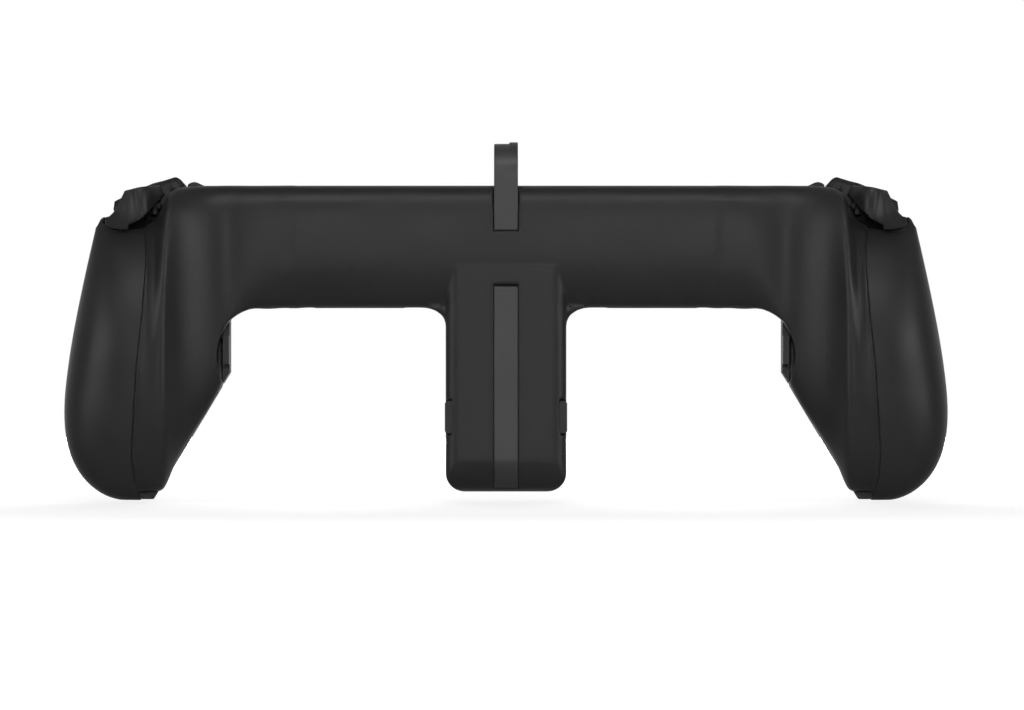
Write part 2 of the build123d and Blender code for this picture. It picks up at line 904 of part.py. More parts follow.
with BuildPart() as trigger_left:
    add(trigger_envelope())
    add(trigger_envelope(trigger_wall, 7.0), mode=Mode.SUBTRACT)
    # Open towards the pivot, and clear of the shell's rim
    rod(trigger_pivot_y, trigger_pivot_z, (108.9, 119.8), trigger_hub, Mode.SUBTRACT)
    extrude(trigger_clearance(), amount=overshoot, both=True, mode=Mode.SUBTRACT)
    add(trigger_ears.part)
    rod(
        trigger_pivot_y,
        trigger_pivot_z,
        (106, 122.5),
        trigger_pin_radius + running_fit,
        Mode.SUBTRACT,
    )
finish(trigger_left, "trigger_left")

with BuildPart() as trigger_right:
    mirror(trigger_left.part, about=Plane.YZ)
finish(trigger_right, "trigger_right")

with BuildPart() as trigger_pins:
    for side in (-1, 1):
        rod(
            trigger_pivot_y,
            trigger_pivot_z,
            span(side, 109.3, 121.5),
            trigger_pin_radius,
        )
finish(trigger_pins, "trigger_pins")

with BuildPart() as trigger_springs:
    for side in (-1, 1):
        start = (side * 113.3, trigger_pivot_y, trigger_pivot_z)
        coil(start, (side, 0, 0), 2.1, 0.6, 3.6, 3)
finish(trigger_springs, "trigger_springs")

bracket_floor = 88.0
bracket_top = 89.2
bracket_front = 11.0

with BuildPart() as bracket_left:
    block((109.2, 119.4), (-3, bracket_front), (bracket_floor, bracket_top))
    block((101.3, 119.8), (4.9, bracket_front), (bracket_floor, bracket_top))
    block((101.3, 123.4), (4.9, 7.0), (bracket_floor, bracket_top))
    block((101.3, 105.8), (0.4, 5.0), (bracket_floor, bracket_top))
    # Cheeks that hold the trigger's pin
    for limits in ((111.3, 112.9), (117.2, 119.2)):
        rod(trigger_pivot_y, trigger_pivot_z, limits, 2.4)
        block(limits, (-3.0, 1.8), (bracket_floor, trigger_pivot_z))
    rod(trigger_pivot_y, trigger_pivot_z, (109, 123), trigger_pin_radius, Mode.SUBTRACT)
    # Well for the trigger's spring
    block((112.9, 117.2), (-3.5, 2.0), (bracket_floor - 1, bracket_top + 1), Mode.SUBTRACT)
    # Ear that holds the bumper's pin
    block((bumper_pin_u - 1.8, bumper_pin_u + 1.8), (0.4, 2.2), (bracket_floor, bumper_pin_z))
    post(bumper_pin_u, bumper_pin_z, (0.4, 2.2), 1.8)
    post(bumper_pin_u, bumper_pin_z, (0, 3), bumper_pin_radius, Mode.SUBTRACT)

with BuildPart() as trigger_brackets:
    add(bracket_left.part)
    mirror(bracket_left.part, about=Plane.YZ)
finish(trigger_brackets, "trigger_brackets")


# Bumpers

with BuildPart() as bumper_left:
    with BuildSketch(Plane.XZ.offset(-bumper_front)):
        with BuildLine():
            Line((100.7, 95.0), (100.7, 99.2))
            Spline((100.7, 99.2), (102.2, 100.8), (103.4, 101.7), (104.8, 101.6))
            Polyline(
                (104.8, 101.6),
                (107.7, 100.7),
                (110.9, 99.9),
                (114.3, 98.5),
                (120.6, 95.5),
                (123.1, 94.2),
                (123.8, 91.3),
                (106.0, 91.9),
                (100.7, 95.0),
            )
        make_face()
    extrude(amount=bumper_front - bumper_rear)
    with BuildSketch(Plane.XZ.offset(-bumper_front + 1.8)):
        with BuildLine():
            Polyline(
                (106.8, 90.0),
                (106.8, 98.6),
                (110.9, 97.5),
                (114.3, 96.1),
                (120.6, 93.2),
                (121.8, 92.6),
                (121.8, 90.0),
                (106.8, 90.0),
            )
        make_face()
    extrude(amount=bumper_front - bumper_rear - 3.6, mode=Mode.SUBTRACT)
    # Plunger over the switch
    block((115.0, 117.0), (7.2, 9.2), (93.0, 97.0))
    extrude(face_section(92.6), amount=12, mode=Mode.INTERSECT)
    post(
        bumper_pin_u,
        bumper_pin_z,
        (bumper_rear - 1, bumper_front + 1),
        bumper_pin_radius + running_fit,
        Mode.SUBTRACT,
    )
finish(bumper_left, "bumper_left")

with BuildPart() as bumper_right:
    mirror(bumper_left.part, about=Plane.YZ)
finish(bumper_right, "bumper_right")

with BuildPart() as bumper_pins:
    for side in (-1, 1):
        post(side * bumper_pin_u, bumper_pin_z, (0.4, 13.8), bumper_pin_radius)
finish(bumper_pins, "bumper_pins")


# Two-axis pivots, shared by the sticks and the direction pad

fork_near = 2.3
fork_far = 3.3
cheek_near = 3.5
cheek_far = 4.7
arm_half = 1.4
shaft_radius = 0.9
shaft_hole = 1.0
ball_radius = 2.0


def make_rocker(x, z):
    """Small ball with two shafts along X and a hole along Z for the fork's pin."""
    with BuildPart() as rocker:
        with Locations((x, pivot_y, z)):
            Sphere(ball_radius)
        rod(pivot_y, z, (x - 4.6, x + 4.6), shaft_radius)
        column(x, pivot_y, (z - 3, z + 3), shaft_hole, Mode.SUBTRACT)
    return rocker


def add_fork(x, z, top):
    """Two arms over the rocker, with the pin that goes through it."""
    for side in (-1, 1):
        limits = tuple(sorted((z + side * fork_near, z + side * fork_far)))
        block((x - arm_half, x + arm_half), (pivot_y - 1.2, top), limits)
    column(x, pivot_y, (z - fork_far, z + fork_far), shaft_radius)


def add_cheeks(x, z, foot):
    """Two posts with holes for the rocker's shafts."""
    for side in (-1, 1):
        limits = tuple(sorted((x + side * cheek_near, x + side * cheek_far)))
        block(limits, (foot, pivot_y + arm_half), (z - arm_half, z + arm_half))
    rod(pivot_y, z, (x - 6, x + 6), shaft_hole, Mode.SUBTRACT)


def make_thumbstick(x, z):
    with BuildPart() as stick:
        with BuildSketch(Plane(origin=(x, 0, z), x_dir=(1, 0, 0), z_dir=(0, 0, 1))):
            with BuildLine():
                # Cap with a hollow top, waisted neck and dome
                Polyline((0, 25.8), (5.5, 26.1))
                Spline((5.5, 26.1), (7.4, 27.0), (8.7, 26.5), (9.0, 25.3))
                Polyline((9.0, 25.3), (8.6, 23.7), (4.4, 23.1))
                Spline((4.4, 23.1), (3.7, 20.0), (4.4, 17.0))
                dome_turn = 4.4
                dome_y = pivot_y + sqrt(7.0**2 - dome_turn**2)
                Line((4.4, 17.0), (dome_turn, dome_y))
                rim_y = 1.4
                rim_outer = sqrt(7.0**2 - rim_y**2)
                rim_inner = sqrt(5.8**2 - rim_y**2)
                RadiusArc((dome_turn, dome_y), (rim_outer, pivot_y + rim_y), 7.0)
                Line((rim_outer, pivot_y + rim_y), (rim_inner, pivot_y + rim_y))
                RadiusArc((rim_inner, pivot_y + rim_y), (0, pivot_y + 5.8), -5.8)
                Line((0, pivot_y + 5.8), (0, 25.8))
            make_face()
        revolve(axis=Axis((x, 0, z), (0, 1, 0)), revolution_arc=360)
        add_fork(x, z, pivot_y + 6.4)
    return stick


def make_cradle(x, z):
    """Carriage that carries the rocker and slides down as the stick is pressed."""
    with BuildPart() as cradle:
        block((x - 5.2, x + 5.2), (3.2, 4.8), (z - 5.2, z + 5.2))
        add_cheeks(x, z, 4.0)
        post(x, z, (3, 5), 2.6, Mode.SUBTRACT)
    return cradle


def make_stick_base(x, z):
    """Square cup, soldered to the board, that the cradle slides in."""
    with BuildPart() as base:
        block((x - 8, x + 8), (board_front, 5.8), (z - 8, z + 8))
        block((x - 5.6, x + 5.6), (1.6, 7), (z - 5.6, z + 5.6), Mode.SUBTRACT)
    return base


for side_name, x, z in (
    ("left", stick_left_at[0], stick_left_at[1]),
    ("right", -stick_right_at[0], stick_right_at[1]),
):
    finish(make_thumbstick(x, z), f"thumbstick_{side_name}")
    finish(make_rocker(x, z), f"stick_rocker_{side_name}")
    finish(make_cradle(x, z), f"stick_cradle_{side_name}")
    finish(make_stick_base(x, z), f"stick_base_{side_name}")

with BuildPart() as stick_collars:
    for x, z in (stick_left_at, (-stick_right_at[0], stick_right_at[1])):
        with BuildSketch(Plane(origin=(x, 0, z), x_dir=(1, 0, 0), z_dir=(0, 0, 1))):
            Polygon((10.0, 16.0), (10.0, 17.0), (10.5, 17.4), (11.4, 17.2), (12.4, 16.0), align=None)
        revolve(axis=Axis((x, 0, z), (0, 1, 0)), revolution_arc=360)
finish(stick_collars, "stick_collars")


# Direction pad

pad_x, pad_z = dpad_at

with BuildPart() as dpad:
    for width, height in ((20.0, 6.6), (6.6, 20.0)):
        block(
            (pad_x - width / 2, pad_x + width / 2),
            (12.2, 18.4),
            (pad_z - height / 2, pad_z + height / 2),
        )
    tips = dpad.edges().group_by(Axis.Y)[-1]
    chamfer(tips, 0.8)
    post(pad_x, pad_z, (11.4, 12.6), 9.5)
    add_fork(pad_x, pad_z, 12.0)
finish(dpad, "dpad")

finish(make_rocker(pad_x, pad_z), "dpad_rocker")

with BuildPart() as dpad_stand:
    block((pad_x - 5.2, pad_x + 5.2), (board_front, 1.4), (pad_z - 5.2, pad_z + 5.2))
    add_cheeks(pad_x, pad_z, 1.0)
finish(dpad_stand, "dpad_stand")

with BuildPart() as dpad_membrane:
    block((pad_x - 9.6, pad_x + 9.6), (board_front, 0.9), (pad_z - 9.6, pad_z + 9.6))
    block((pad_x - 5.5, pad_x + 5.5), (-1, 2), (pad_z - 5.5, pad_z + 5.5), Mode.SUBTRACT)
    for du, dz in ((7.6, 0), (-7.6, 0), (0, 7.6), (0, -7.6)):
        post(pad_x + du, pad_z + dz, (board_front, 9.6), 1.8)
finish(dpad_membrane, "dpad_membrane")


# Face buttons


def make_button(x, z, radius, flange, top, foot):
    """Domed cap with a flange under the shell and a plunger."""
    with BuildPart() as button:
        post(x, z, (12.4, top), radius)
        fillet(button.edges().group_by(Axis.Y)[-1], 0.6)
        post(x, z, (12.4, 13.4), flange)
        post(x, z, (foot, 12.6), min(2.0, radius - 0.6))
    return button


for name, (du, dz) in cluster:
    u = cluster_at[0] + cluster_radius * du
    z = cluster_at[1] + cluster_radius * dz
    finish(make_button(-u, z, button_radius, button_radius + 0.75, 18.2, 5.0), name)

for name, side, (u, z) in (
    ("select_button", 1, upper_small_at),
    ("capture_button", 1, lower_small_at),
    ("start_button", -1, upper_small_at),
    ("home_button", -1, lower_small_at),
):
    finish(make_button(side * u, z, small_radius, small_radius + 0.7, 16.8, 3.0), name)

with BuildPart() as face_button_membrane:
    x, z = -cluster_at[0], cluster_at[1]
    block((x - 9.8, x + 9.8), (board_front, 0.9), (z - 9.8, z + 9.8))
    for _, (du, dz) in cluster:
        post(x + cluster_radius * du, z + cluster_radius * dz, (board_front, 3.4), 2.8)
finish(face_button_membrane, "face_button_membrane")


# Boards, cables and the plug

with BuildPart() as pcb_left:
    block((93.0, 123.5), (-board_thickness, board_front), (38.0, 87.0))
    fillet(pcb_left.edges().filter_by(Axis.Y), 2.0)
finish(pcb_left, "pcb_left")

with BuildPart() as pcb_right:
    mirror(pcb_left.part, about=Plane.YZ)
finish(pcb_right, "pcb_right")

with BuildPart() as tact_switches:
    for side in (-1, 1):
        block(span(side, 113, 119), (5.2, 10.8), (bracket_top, bracket_top + 2))
        column(side * 116, 8.2, (bracket_top, bracket_top + 2.7), 1.5)
        for u, z in (upper_small_at, lower_small_at):
            block(span(side, u - 1.5, u + 1.5), (board_front, 1.4), (z - 1.5, z + 1.5))
            post(side * u, z, (board_front, 2.0), 0.9)
finish(tact_switches, "tact_switches")

with BuildPart() as ribbon_cable:
    block((-94, 94), (-4.4, -4.0), (70, 80))
    for side in (-1, 1):
        block(span(side, 93.6, 94), (-4.4, -2.4), (70, 80))
        block(span(side, 93.4, 99), (-2.8, -board_thickness), (69, 81))
finish(ribbon_cable, "ribbon_cable")

with BuildPart() as usb_flex:
    block((5, 9), (-3.6, -3.2), (8.0, 74))
    block((5, 9), (-4.0, -3.2), (71, 74))
    block((5, 9), (-3.6, -1.2), (8.0, 8.4))
    block((5, 9), (-1.6, -1.2), (5.5, 8.4))
finish(usb_flex, "usb_flex")

with BuildPart() as usb_board:
    block((-9.5, 9.5), (-1.8, 11.5), (4.8, 5.5))
finish(usb_board, "usb_board")

with BuildPart() as usb_plug:
    with BuildSketch(Plane.XY.offset(5.5)):
        with Locations((0, plug_y)):
            RectangleRounded(8.3, 2.5, 1.2)
    extrude(amount=8.0)
    fillet(usb_plug.edges().group_by(Axis.Z)[-1], 0.3)
finish(usb_plug, "usb_plug")


# Rumble motors in the handles

motor_u, motor_y = motor_at

with BuildPart() as rumble_motors:
    for side in (-1, 1):
        column(side * motor_u, motor_y, (22, 38), motor_radius)
        column(side * motor_u, motor_y, (21, 27), 1.0, Mode.SUBTRACT)
finish(rumble_motors, "rumble_motors")

with BuildPart() as rumble_weight_left:
    with BuildSketch(Plane.XY.offset(15.5)):
        with Locations((motor_u, motor_y)):
            Circle(5.2)
        with Locations((motor_u, motor_y + 4.1)):
            Rectangle(12, 6, mode=Mode.SUBTRACT)
    extrude(amount=4.0)
    column(motor_u, motor_y, (15.5, 26.4), 0.9)
finish(rumble_weight_left, "rumble_weight_left")

with BuildPart() as rumble_weight_right:
    mirror(rumble_weight_left.part, about=Plane.YZ)
finish(rumble_weight_right, "rumble_weight_right")

with BuildPart() as rumble_mounts:
    for side in (-1, 1):
        block(span(side, 112, 126), (-15, -board_thickness), (31, 42))
        column(side * motor_u, motor_y, (30, 38), motor_radius, Mode.SUBTRACT)
finish(rumble_mounts, "rumble_mounts")


# Screws

with BuildPart() as face_screws:
    for u, z in face_screws_at:
        for side in (-1, 1):
            seat = face_depth(z) - seat_depth
            post(side * u, z, (seat - 20, seat), screw_radius)
            post(side * u, z, (seat, seat + 1.2), screw_head)
finish(face_screws, "face_screws")

with BuildPart() as backrest_screws:
    for x, z in plate_screws_at:
        for side in (-1, 1):
            post(side * x, z, (-7.6, -1.3), screw_radius)
            post(side * x, z, (-1.3, -0.2), screw_head)
finish(backrest_screws, "backrest_screws")
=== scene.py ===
import json
import math

import bmesh
import bpy
import numpy as np
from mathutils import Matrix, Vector


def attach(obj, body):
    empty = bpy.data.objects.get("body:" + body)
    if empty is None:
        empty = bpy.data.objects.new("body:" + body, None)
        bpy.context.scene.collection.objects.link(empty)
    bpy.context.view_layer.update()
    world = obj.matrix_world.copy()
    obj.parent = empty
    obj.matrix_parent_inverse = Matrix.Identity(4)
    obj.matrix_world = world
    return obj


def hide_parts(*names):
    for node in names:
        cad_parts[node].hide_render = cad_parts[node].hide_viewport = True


# Two-handed game controller grip that clamps round a small tablet, seen from behind.
# Shapes are worked out in millimetres, in the row frame: +Z up, the rear facing -Y.
# "u" is the distance from the middle plane.

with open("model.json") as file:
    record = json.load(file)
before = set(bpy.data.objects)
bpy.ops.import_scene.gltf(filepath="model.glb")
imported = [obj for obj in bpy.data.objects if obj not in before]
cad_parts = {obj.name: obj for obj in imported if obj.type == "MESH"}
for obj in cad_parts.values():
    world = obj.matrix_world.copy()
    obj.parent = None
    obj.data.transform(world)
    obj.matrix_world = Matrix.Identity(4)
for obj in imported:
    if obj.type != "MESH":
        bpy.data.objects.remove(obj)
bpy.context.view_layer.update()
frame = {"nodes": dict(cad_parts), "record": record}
cad = frame["nodes"]
body_of = {n: b for b, group in frame["record"]["behaviour"]["bodies"].items() for n in group}
slot_of = {e["node"]: e["material_slot"] for e in frame["record"]["subparts"]}
mm = 0.001


# Materials


def new_material(name):
    made = bpy.data.materials.new(name)
    made.use_nodes = True
    shader = made.node_tree.nodes["Principled BSDF"]
    return made, made.node_tree, shader


def add_node(tree, kind, values=None, **settings):
    node = tree.nodes.new(kind)
    for key, value in settings.items():
        setattr(node, key, value)
    for key, value in (values or {}).items():
        node.inputs[key].default_value = value
    return node


def noise(tree, coords, scale, detail=2.0, roughness=0.5):
    made = add_node(
        tree, "ShaderNodeTexNoise", {"Scale": scale, "Detail": detail, "Roughness": roughness}
    )
    tree.links.new(coords, made.inputs["Vector"])
    return made.outputs["Fac"]


def spread(tree, value, low, high, source=(0.3, 0.7)):
    made = add_node(
        tree,
        "ShaderNodeMapRange",
        {"From Min": source[0], "From Max": source[1], "To Min": low, "To Max": high},
    )
    tree.links.new(value, made.inputs["Value"])
    return made.outputs["Result"]


def tint(tree, value, dark, light):
    made = add_node(tree, "ShaderNodeMix", data_type="RGBA")
    made.inputs[6].default_value = (*dark, 1)
    made.inputs[7].default_value = (*light, 1)
    tree.links.new(value, made.inputs["Factor"])
    return made.outputs[2]


def bump(tree, height, strength, distance, normal=None):
    made = add_node(tree, "ShaderNodeBump", {"Strength": strength, "Distance": distance})
    tree.links.new(height, made.inputs["Height"])
    if normal is not None:
        tree.links.new(normal, made.inputs["Normal"])
    return made.outputs["Normal"]


def moulded(name, colour, rough, grain=2600, depth=0.35, specular=0.02):
    """Moulded plastic or rubber: spark-eroded grain, faint flow marks and uneven sheen."""
    made, tree, shader = new_material(name)
    coords = add_node(tree, "ShaderNodeTexCoord").outputs["Object"]
    cloud = noise(tree, coords, 55, 3)
    fine = noise(tree, coords, grain, 3, 0.6)
    coarse = noise(tree, coords, grain * 0.35, 2)
    dark = [c * 0.93 for c in colour]
    light = [c * 1.07 for c in colour]
    base = tint(tree, spread(tree, cloud, 0, 1), dark, light)
    speck = tint(tree, spread(tree, fine, 0, 1), [0.93] * 3, [1.07] * 3)
    both = add_node(tree, "ShaderNodeMix", {"Factor": 1.0}, data_type="RGBA", blend_type="MULTIPLY")
    tree.links.new(base, both.inputs[6])
    tree.links.new(speck, both.inputs[7])
    tree.links.new(both.outputs[2], shader.inputs["Base Color"])
    tree.links.new(spread(tree, cloud, rough - 0.04, rough + 0.04), shader.inputs["Roughness"])
    first = bump(tree, coarse, depth * 0.6, 0.00006)
    tree.links.new(bump(tree, fine, depth, 0.00003, first), shader.inputs["Normal"])
    shader.inputs["Specular IOR Level"].default_value = specular
    return made


def drawn_metal(name, colour, rough, stretch=(1, 1, 40)):
    """Drawn or ground metal with fine streaks."""
    made, tree, shader = new_material(name)
    coords = add_node(tree, "ShaderNodeTexCoord").outputs["Object"]
    shape = add_node(tree, "ShaderNodeMapping")
    shape.inputs["Scale"].default_value = stretch
    tree.links.new(coords, shape.inputs["Vector"])
    streaks = noise(tree, shape.outputs["Vector"], 260, 4)
    base = tint(tree, spread(tree, streaks, 0, 1), [c * 0.85 for c in colour], colour)
    tree.links.new(base, shader.inputs["Base Color"])
    tree.links.new(spread(tree, streaks, rough - 0.07, rough + 0.07), shader.inputs["Roughness"])
    tree.links.new(bump(tree, streaks, 0.15, 0.00002), shader.inputs["Normal"])
    shader.inputs["Metallic"].default_value = 1.0
    return made


def board(name):
    """Solder-masked board darkened to near-black as painted shade, over a faint pattern of tracks.
    """
    made, tree, shader = new_material(name)
    coords = add_node(tree, "ShaderNodeTexCoord").outputs["Object"]
    cells = add_node(tree, "ShaderNodeTexVoronoi", {"Scale": 420.0}, feature="DISTANCE_TO_EDGE")
    tree.links.new(coords, cells.inputs["Vector"])
    # Near-black tones: painted shade in place of the board's own colour
    base = tint(
        tree,
        spread(tree, cells.outputs["Distance"], 0, 1, (0.02, 0.10)),
        (0.006, 0.007, 0.0065),
        (0.003, 0.0035, 0.0035),
    )
    tree.links.new(base, shader.inputs["Base Color"])
    tree.links.new(
        bump(tree, cells.outputs["Distance"], 0.2, 0.00003), shader.inputs["Normal"]
    )
    shader.inputs["Roughness"].default_value = 0.45
    shader.inputs["Specular IOR Level"].default_value = 0.02
    return made


grey = (0.0215, 0.0215, 0.0218)
shell_look = moulded("shell_plastic", grey, 0.40)
grip_look = moulded("grip_plastic", grey, 0.41)
strap_look = moulded(
    "strap_plastic", (0.034, 0.034, 0.0345), 0.42, grain=3400, depth=0.2, specular=0.042
)
key_look = moulded("key_plastic", (0.0200, 0.0200, 0.0203), 0.37, grain=3400, depth=0.2)
rubber_look = moulded("rubber", (0.013, 0.013, 0.013), 0.62, grain=1900, depth=0.5, specular=0.03)
# Near-black for the parts inside the shells: painted shade of the hollows they sit in
inner_shade_look = moulded("inner_plastic_painted_shade", (0.005, 0.005, 0.005), 0.6, specular=0.01)
film_look = moulded("cable_film", (0.42, 0.25, 0.05), 0.45, grain=900, depth=0.1)
board_shade_look = board("board")
steel_look = drawn_metal("blackened_steel", (0.026, 0.026, 0.027), 0.42)
# Near-black pins and springs: painted shade, so that they stay dark inside the gaps
pin_shade_look = drawn_metal("pin_painted_shade", (0.006, 0.006, 0.006), 0.5)
# Near-black for gaps, slots and screw recesses: painted shade
painted_shade_look = moulded("recess", (0.004, 0.004, 0.004), 0.7, specular=0.01)
weight_look = drawn_metal("sintered_weight", (0.30, 0.30, 0.31), 0.5, (3, 3, 3))
plug_look = drawn_metal("plug_shell", (0.30, 0.30, 0.31), 0.34, (1, 30, 1))

look_of_slot = {
    "shell": shell_look,
    "grip": grip_look,
    "strap": strap_look,
    "button": key_look,
    "rubber": rubber_look,
    "board": board_shade_look,
    "steel": steel_look,
    "cable": film_look,
    "weight": weight_look,
    "plug": plug_look,
}
# These inner parts take the painted-shade look
inner_nodes = {
    "trigger_brackets",
    "stick_base_left",
    "stick_base_right",
    "stick_cradle_left",
    "stick_cradle_right",
    "stick_rocker_left",
    "stick_rocker_right",
    "dpad_stand",
    "dpad_rocker",
}
pin_nodes = {"trigger_pins", "trigger_springs", "bumper_pins"}

for node_name, thing in cad.items():
    look = look_of_slot[slot_of[node_name]]
    if node_name in inner_nodes:
        look = inner_shade_look
    if node_name in pin_nodes:
        look = pin_shade_look
    thing.data.materials.clear()
    thing.data.materials.append(look)


# Small helpers for curves and blends


def ease(t):
    t = np.clip(t, 0, 1)
    return t * t * (3 - 2 * t)


def bell(t):
    """1 at t = 0, falling smoothly to 0 at t = -1 and 1."""
    return ease(1 - np.abs(t))


def place(piece, node, look=None):
    """Makes a piece stand for a CAD node: same body, same slot."""
    if look:
        piece.data.materials.clear()
        piece.data.materials.append(look)
    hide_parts(node)
    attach(piece, body_of[node])
    return piece


def polish(mesh, zones, rounds=25):
    """Smooths the mesh inside a few zones, each the lowest and highest (u, z) in mm."""
    edit = bmesh.new()
    edit.from_mesh(mesh)
    chosen = []
    for vert in edit.verts:
        u, z = abs(vert.co.x) / mm, vert.co.z / mm
        if any(a <= u <= c and b <= z <= d for (a, b), (c, d) in zones):
            chosen.append(vert)
    for _ in range(rounds):
        bmesh.ops.smooth_vert(
            edit, verts=chosen, factor=0.5, use_axis_x=True, use_axis_y=True, use_axis_z=True
        )
    edit.to_mesh(mesh)
    edit.free()


def skin(name, node, voxel, rounds, shape=None, look=None, zones=()):
    """Fine, softened copy of a CAD node's surface; shape moves its points."""
    piece = bpy.data.objects.new(name, cad[node].data.copy())
    bpy.context.scene.collection.objects.link(piece)
    remesh = piece.modifiers.new("remesh", "REMESH")
    remesh.mode = "VOXEL"
    remesh.voxel_size = voxel * mm
    remesh.use_smooth_shade = True
    soften = piece.modifiers.new("soften", "SMOOTH")
    soften.factor = 0.5
    soften.iterations = rounds
    graph = bpy.context.evaluated_depsgraph_get()
    mesh = bpy.data.meshes.new_from_object(piece.evaluated_get(graph))
    piece.modifiers.clear()
    piece.data = mesh
    if zones:
        polish(mesh, zones)
    if shape:
        points = np.empty(len(mesh.vertices) * 3, np.float32)
        mesh.vertices.foreach_get("co", points)
        points = points.reshape(-1, 3).astype(float) / mm
        shape(points)
        mesh.vertices.foreach_set("co", (points * mm).astype(np.float32).ravel())
        mesh.update()
    mesh.polygons.foreach_set("use_smooth", [True] * len(mesh.polygons))
    return place(piece, node, look or look_of_slot[slot_of[node]])


# The seam between rear shell and grip cover: (z, u)
seam_line = (
    (0, 113.7),
    (5.8, 115.9),
    (15.2, 116.7),
    (27.7, 116.0),
    (43.4, 114.9),
    (59.0, 113.3),
    (74.7, 112.3),
    (86.0, 113.0),
    (90.0, 113.4),
)


seam_u = 115.0
# A groove's points up to "from" off its line close up to "to"; beyond "end" nothing moves
seam_groove = (1.3, 0.3, 4.0)
parting_groove = (1.2, 0.24, 2.6)
lip_slant = 0.9

# Outer and inner edge of the wall's end round the pocket: (u, z)
lip_line = (
    (103.4, 96.8),
    (105.5, 94.1),
    (107.7, 89.7),
    (109.3, 87.5),
    (112.8, 85.3),
    (117.1, 84.1),
    (123.1, 83.4),
    (126.5, 84.3),
    (127.8, 85.7),
)
rim_line = (
    (101.5, 98.3),
    (104.9, 96.9),
    (106.8, 93.5),
    (109.3, 89.3),
    (112.8, 86.9),
    (117.1, 85.4),
    (123.4, 85.1),
    (125.6, 86.3),
    (126.2, 89.1),
    (128.0, 89.3),
)
bumper_line = ((100.7, 99.2), (103.4, 101.7), (104.8, 101.6), (114.3, 98.5), (123.1, 94.2))

# Line of the trigger's outer side: (z, u)
trigger_side = (
    (86.0, 125.4),
    (87.9, 125.3),
    (89.1, 124.2),
    (90.4, 122.5),
    (92.2, 121.2),
    (94.4, 120.3),
    (97.0, 119.2),
)


def bend_seam(points):
    """Slides the straight seam sideways onto its curve."""
    x, y, z = points.T
    u = np.abs(x)
    heights, places = zip(*seam_line)
    shift = np.interp(z, heights, places) - seam_u
    weight = bell((u - seam_u) / 10.0) * ease((6 - y) / 6)
    points[:, 0] += np.sign(x) * shift * weight


def squeezed(away, groove):
    """Distances from a groove's line once the groove is drawn together."""
    start, closed, end = groove
    width = np.abs(away)
    narrow = np.where(
        width < start,
        width * closed / start,
        closed + (width - start) * (end - closed) / (end - start),
    )
    return np.sign(away) * np.where(width < end, narrow, width)


def squeeze_seam(points):
    """Narrows the groove between rear shell and cover to a hairline."""
    u = np.abs(points[:, 0])
    points[:, 0] = np.sign(points[:, 0]) * (seam_u + squeezed(u - seam_u, seam_groove))


def squeeze_parting(points):
    """Narrows the groove between the face shell and the rear halves in the same way."""
    x, y, z = points.T
    line = 0.15 - 11.0 * np.clip((42.0 - z) / 42.0, 0, 1)
    moved = line + squeezed(y - line, parting_groove)
    points[:, 1] = np.where(np.abs(x) > 90.5, moved, y)


def outer_weight(points, cell=0.6, depth=2.2):
    """1 on the outer skin of a wall, falling to 0 through its thickness."""
    x, y, z = points.T
    columns = np.round(np.stack((x, z)) / cell).astype(int)
    keys = (columns[0] + 1000) * 4000 + columns[1] + 1000
    nearest = np.full(keys.max() + 1, np.inf)
    np.minimum.at(nearest, keys, y)
    return np.clip(1 - (y - nearest[keys]) / depth, 0, 1)


def bevel_lip(points):
    """Slants the end of the wall round the trigger's pocket, so that it shows from behind."""
    x, y, z = points.T
    u = np.abs(x)
    low = np.interp(u, *zip(*lip_line), left=200.0, right=200.0)
    high = np.interp(u, *zip(*rim_line), left=201.0, right=201.0)
    across = np.clip((z - low) / np.maximum(high - low, 0.4), 0, 1)
    points[:, 1] += lip_slant * across * outer_weight(points)


def straighten_bar(points):
    """Keeps the bar's upper and lower edges straight up to the handle's curve."""
    x, y, z = points.T
    u = np.abs(x)
    foot = ease((66 - z) / 4) * ease((z - 56) / 3) * ease((u - 19.5) / 2) * ease((81 - u) / 5)
    head = ease((z - 95) / 3) * ease((101 - u) / 5)
    points[:, 2] += 0.26 * head - foot * (0.3 + 0.6 * bell((u - 70.5) / 9))


def shape_rear(points):
    bevel_lip(points)
    straighten_bar(points)
    squeeze_seam(points)
    squeeze_parting(points)
    bend_seam(points)


def shape_face(points):
    """Low swelling on the shoulder of the face shell, beside the bumper."""
    x, y, z = points.T
    u = np.abs(x)
    height = bell((u - 97.9) / 4.2) * ease((z - 95.5) / 3.0) * ease((12 - y) / 4)
    points[:, 2] += 1.4 * height
    squeeze_parting(points)


def shape_hook(points):
    """One corner of the hook's top stands a little above the rest."""
    x, y, z = points.T
    points[:, 2] -= 0.5 * ease((1.3 - x) / 0.5) * ease((z - 110.6) / 0.6)


def shape_bumper(points):
    """Bevelled upper edge, and a raised facet at the inner end."""
    x, y, z = points.T
    u = np.abs(x)
    top = np.interp(u, *zip(*bumper_line))
    rear = ease((6.0 - y) / 2.5)
    bevel = ease((z - top + 1.6) / 1.6)
    facet = ease((u - 101.6) / 0.7) * ease((105.6 - u) / 0.7)
    facet *= ease((z - 97.4) / 0.6) * ease((top - 0.9 - z) / 0.6)
    points[:, 1] += rear * (1.3 * bevel - 0.9 * facet)
    points[:, 2] -= 1.2 * ease((u - 118.5) / 2.5) * ease((94.2 - z) / 1.4)


def shape_trigger(points):
    """Saddle across the trigger: a valley between its outer side and a sharp ridge."""
    x, y, z = points.T
    u = np.abs(x)
    outer = np.interp(z, *zip(*trigger_side))
    ridge = 113.6 + 0.19 * (z - 86.0)
    middle_line = (outer + ridge) / 2
    dip = bell((u - middle_line) / (0.95 * (outer - ridge)))
    crest = bell((u - ridge) / 1.4)
    side = ease((u - outer + 0.3) / 1.6)
    points[:, 1] += ease((-3 - y) / 4) * (1.1 * dip + 0.9 * side - 0.4 * crest)


